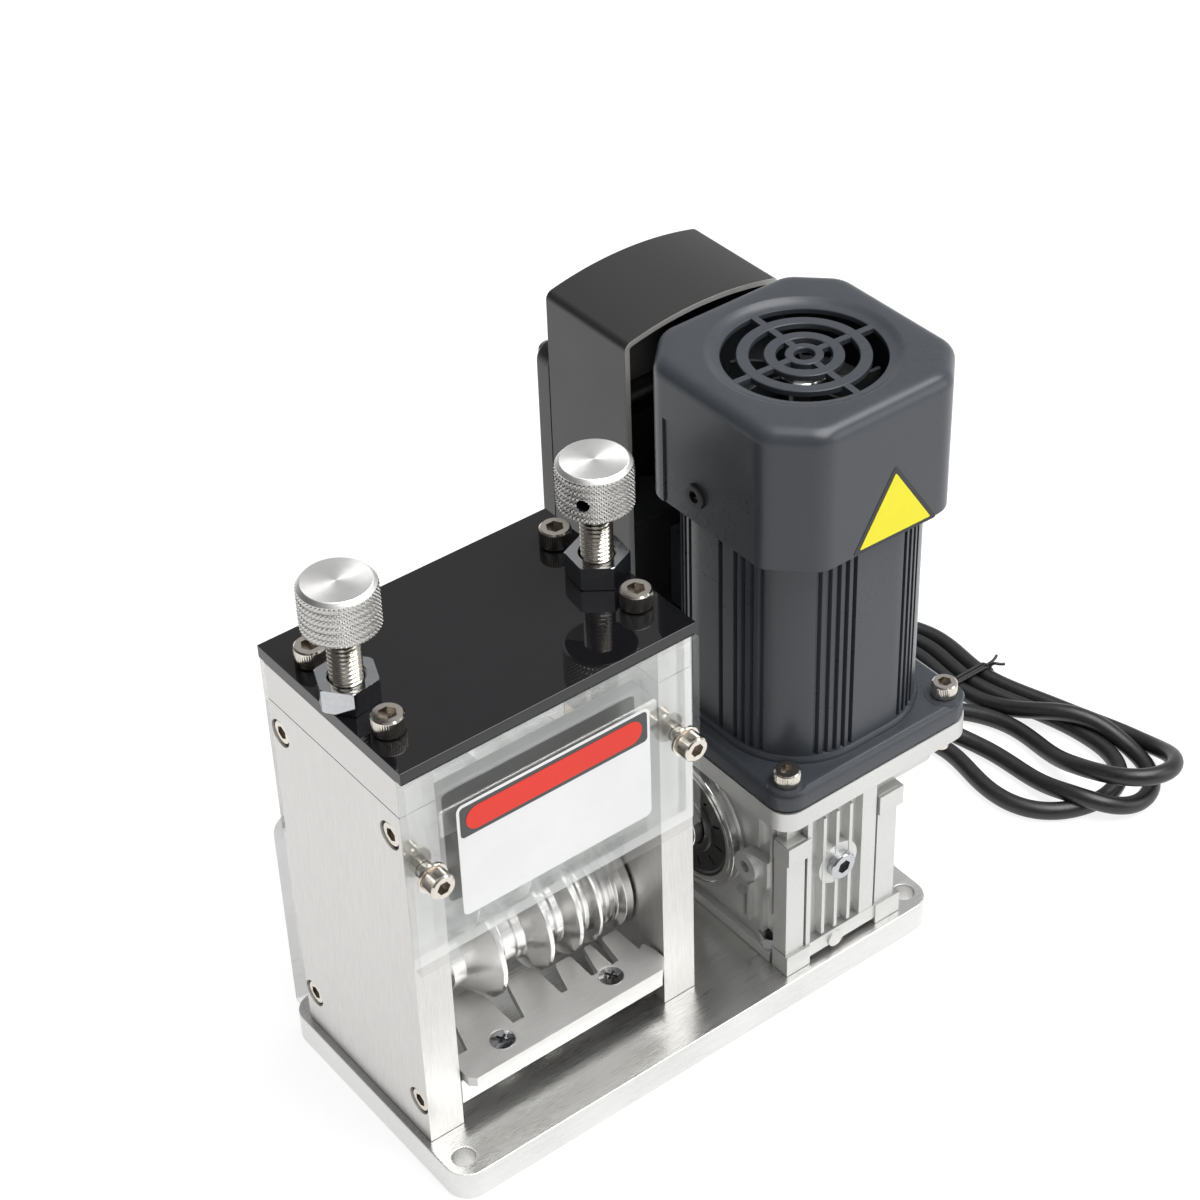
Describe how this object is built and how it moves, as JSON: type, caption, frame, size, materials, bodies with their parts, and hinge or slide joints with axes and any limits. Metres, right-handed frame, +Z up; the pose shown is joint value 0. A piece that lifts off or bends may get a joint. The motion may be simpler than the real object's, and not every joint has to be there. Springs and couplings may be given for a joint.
{
  "type": "wire stripping machine",
  "caption": "Bench machine that feeds a cable between a grooved roller and cutting discs to slit its insulation, driven by a right-angle gear motor on one base plate.",
  "frame": {"origin": "centre of the bounding box of everything but the mains cord, at the underside of the base plate", "axes": "+Z up; +X along the base plate from the stripping head towards the gear motor; cables go in on the -Y side and leave on the +Y side"},
  "size_m": [0.3164, 0.1545, 0.217],
  "materials": {
    "satin_aluminium": "fine brushed, clear anodised",
    "knob_aluminium": "turned top, knurled rim",
    "cast_aluminium": "bead-blasted casting",
    "black_acrylic": "polished black sheet",
    "clear_acrylic": "polished clear sheet",
    "nickel_steel": "nickel plated",
    "zinc_steel": "bright zinc plated",
    "tool_steel": "ground tool steel",
    "turned_steel": "turned",
    "bearing_bronze": "machined bronze",
    "gear_bronze": "cut bronze",
    "slate_paint": "slate gloss paint",
    "black_coat": "black powder coat",
    "black_plastic": "moulded",
    "black_rubber": "moulded"
  },
  "bodies": {
    "frame": {"base_plate": "satin_aluminium", "side_plate_left": "satin_aluminium", "side_plate_right": "satin_aluminium", "cap_block_left": "satin_aluminium", "cap_block_right": "satin_aluminium", "top_cover": "black_acrylic", "cover_screw_front_left": "nickel_steel", "cover_screw_rear_left": "nickel_steel", "cover_screw_front_right": "nickel_steel", "cover_screw_rear_right": "nickel_steel", "upper_front_bar": "satin_aluminium", "upper_rear_bar": "satin_aluminium", "lower_rear_bar": "satin_aluminium", "comb_support_bar": "satin_aluminium", "infeed_comb": "satin_aluminium", "comb_screw_left": "zinc_steel", "comb_screw_right": "zinc_steel", "front_guard": "clear_acrylic", "guard_screw_left": "nickel_steel", "guard_screw_right": "nickel_steel", "rear_panel": "clear_acrylic", "outfeed_guard": "clear_acrylic", "return_spring_left": "tool_steel", "return_spring_right": "tool_steel", "roller_bearing_left": "zinc_steel", "roller_bearing_right": "zinc_steel", "gearbox_housing": "cast_aluminium", "oil_seal": "black_rubber", "oil_plug": "zinc_steel", "motor_housing": "slate_paint", "motor_screw_front_left": "nickel_steel", "motor_screw_front_right": "nickel_steel", "motor_screw_rear_left": "nickel_steel", "motor_screw_rear_right": "nickel_steel", "fan_cover": "slate_paint", "control_box_cover": "black_coat", "control_box_tray": "black_coat", "cord_gland": "black_plastic", "power_cord": "black_rubber", "cord_hank": "black_rubber", "cord_plug": "black_plastic"},
    "motor_shaft": {"motor_rotor": "turned_steel", "cooling_fan": "black_plastic"},
    "feed_shaft": {"feed_roller": "turned_steel", "output_gear": "gear_bronze"},
    "cutter_carriage": {"bearing_block_left": "bearing_bronze", "bearing_block_right": "bearing_bronze"},
    "cutter": {"cutter_arbor": "tool_steel", "cutting_disc_1": "tool_steel", "cutting_disc_2": "tool_steel", "cutting_disc_3": "tool_steel", "cutting_disc_4": "tool_steel", "cutting_disc_5": "tool_steel"},
    "adjuster_left": {"adjust_screw_left": "nickel_steel", "adjust_knob_left": "knob_aluminium"},
    "adjuster_right": {"adjust_screw_right": "nickel_steel", "adjust_knob_right": "knob_aluminium"},
    "lock_nut_left": {"lock_nut_left": "zinc_steel"},
    "lock_nut_right": {"lock_nut_right": "zinc_steel"},
    "rocker": {"rocker_switch": "black_plastic"}
  },
  "joints": [
    {"name": "rotor_spin", "type": "hinge", "parent": "frame", "child": "motor_shaft", "pos_m": [0.06585, -0.02349, 0.131], "axis": [0, 0, 1], "continuous": true},
    {"name": "feed_spin", "type": "hinge", "parent": "frame", "child": "feed_shaft", "pos_m": [-0.04985, -0.01389, 0.0465], "axis": [1, 0, 0], "continuous": true},
    {"name": "adjust_left_turn", "type": "hinge", "parent": "cutter_carriage", "child": "adjuster_left", "pos_m": [-0.09415, -0.01389, 0.161], "axis": [0, 0, 1], "range_deg": [-1205, 1445]},
    {"name": "adjust_right_turn", "type": "hinge", "parent": "cutter_carriage", "child": "adjuster_right", "pos_m": [-0.00555, -0.01389, 0.161], "axis": [0, 0, 1], "range_deg": [-1205, 1445]},
    {"name": "carriage_slide", "type": "slide", "parent": "frame", "child": "cutter_carriage", "axis": [0, 0, 1], "range_m": [-0.005, 0.006], "deforming": ["return_spring_left", "return_spring_right"]},
    {"name": "cutter_spin", "type": "hinge", "parent": "cutter_carriage", "child": "cutter", "pos_m": [-0.04985, -0.01389, 0.091], "axis": [1, 0, 0], "continuous": true},
    {"name": "lock_nut_left_turn", "type": "hinge", "parent": "frame", "child": "lock_nut_left", "pos_m": [-0.09415, -0.01389, 0.167], "axis": [0, 0, 1], "range_deg": [0, 90]},
    {"name": "lock_nut_right_turn", "type": "hinge", "parent": "frame", "child": "lock_nut_right", "pos_m": [-0.00555, -0.01389, 0.167], "axis": [0, 0, 1], "range_deg": [0, 90]},
    {"name": "rocker_turn", "type": "hinge", "parent": "frame", "child": "rocker", "pos_m": [0.06115, 0.06011, 0.161], "axis": [1, 0, 0], "range_deg": [0, 20]}
  ],
  "couplings": [
    {"joint": "feed_spin", "follows": "rotor_spin", "ratio": 0.033333},
    {"joint": "adjust_left_turn", "follows": "carriage_slide", "rad_per_m": 4188.8},
    {"joint": "adjust_right_turn", "follows": "carriage_slide", "rad_per_m": 4188.8}
  ]
}
